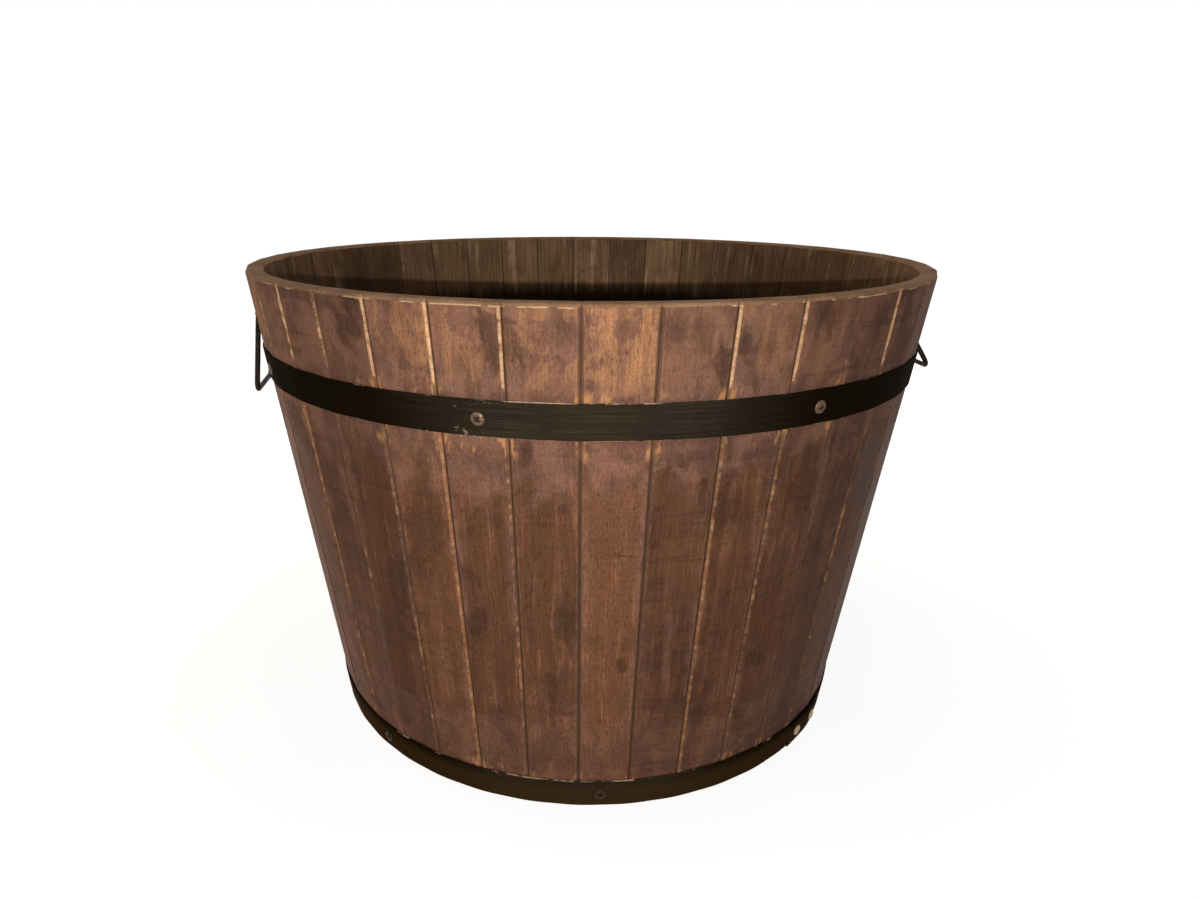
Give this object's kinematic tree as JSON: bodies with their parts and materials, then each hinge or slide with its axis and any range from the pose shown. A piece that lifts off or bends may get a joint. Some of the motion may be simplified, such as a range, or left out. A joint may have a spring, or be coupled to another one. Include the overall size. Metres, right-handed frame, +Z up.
{
  "type": "barrel planter",
  "caption": "Round tapered wooden tub planter of bevelled staves bound by two black strap hoops, with a planked floor and a wire drop handle on each side.",
  "frame": {"origin": "centre of the foot circle, on the tub's axis at ground level", "axes": "+Z up along the tub's axis; +X out through the right handle, -Y towards the viewer of the picture"},
  "size_m": [0.6946, 0.6586, 0.448],
  "materials": {
    "stave_wood": "dark stained acacia, satin, worn to bare wood along the bevels",
    "floor_wood": "rough sawn, stained",
    "hoop_steel": "black paint, satin, brushed",
    "handle_steel": "black paint, satin",
    "screw_steel": "worn zinc"
  },
  "bodies": {
    "tub": {"stave_01": "stave_wood", "stave_02": "stave_wood", "stave_03": "stave_wood", "stave_04": "stave_wood", "stave_05": "stave_wood", "stave_06": "stave_wood", "stave_07": "stave_wood", "stave_08": "stave_wood", "stave_09": "stave_wood", "stave_10": "stave_wood", "stave_11": "stave_wood", "stave_12": "stave_wood", "stave_13": "stave_wood", "stave_14": "stave_wood", "stave_15": "stave_wood", "stave_16": "stave_wood", "stave_17": "stave_wood", "stave_18": "stave_wood", "stave_19": "stave_wood", "stave_20": "stave_wood", "stave_21": "stave_wood", "stave_22": "stave_wood", "stave_23": "stave_wood", "stave_24": "stave_wood", "stave_25": "stave_wood", "stave_26": "stave_wood", "stave_27": "stave_wood", "stave_28": "stave_wood", "stave_29": "stave_wood", "stave_30": "stave_wood", "stave_31": "stave_wood", "stave_32": "stave_wood", "stave_33": "stave_wood", "stave_34": "stave_wood", "stave_35": "stave_wood", "stave_36": "stave_wood", "stave_37": "stave_wood", "stave_38": "stave_wood", "stave_39": "stave_wood", "upper_hoop": "hoop_steel", "lower_hoop": "hoop_steel", "upper_hoop_screws": "screw_steel", "lower_hoop_screws": "screw_steel", "floor_board_1": "floor_wood", "floor_board_2": "floor_wood", "floor_board_3": "floor_wood", "floor_board_4": "floor_wood", "floor_board_5": "floor_wood", "left_batten": "floor_wood", "right_batten": "floor_wood", "floor_screws": "screw_steel", "left_bracket": "handle_steel", "right_bracket": "handle_steel", "left_bracket_screws": "screw_steel", "right_bracket_screws": "screw_steel"},
    "left_handle": {"left_handle": "handle_steel"},
    "right_handle": {"right_handle": "handle_steel"}
  },
  "joints": [
    {"name": "left_handle_swing", "type": "hinge", "parent": "tub", "child": "left_handle", "pos_m": [-0.32409, -0.02616, 0.39965], "axis": [-0.0805, 0.9968, 0], "range_deg": [-6, 166]},
    {"name": "right_handle_swing", "type": "hinge", "parent": "tub", "child": "right_handle", "pos_m": [0.32515, 0, 0.39965], "axis": [0, -1, 0], "range_deg": [-30, 142]}
  ]
}
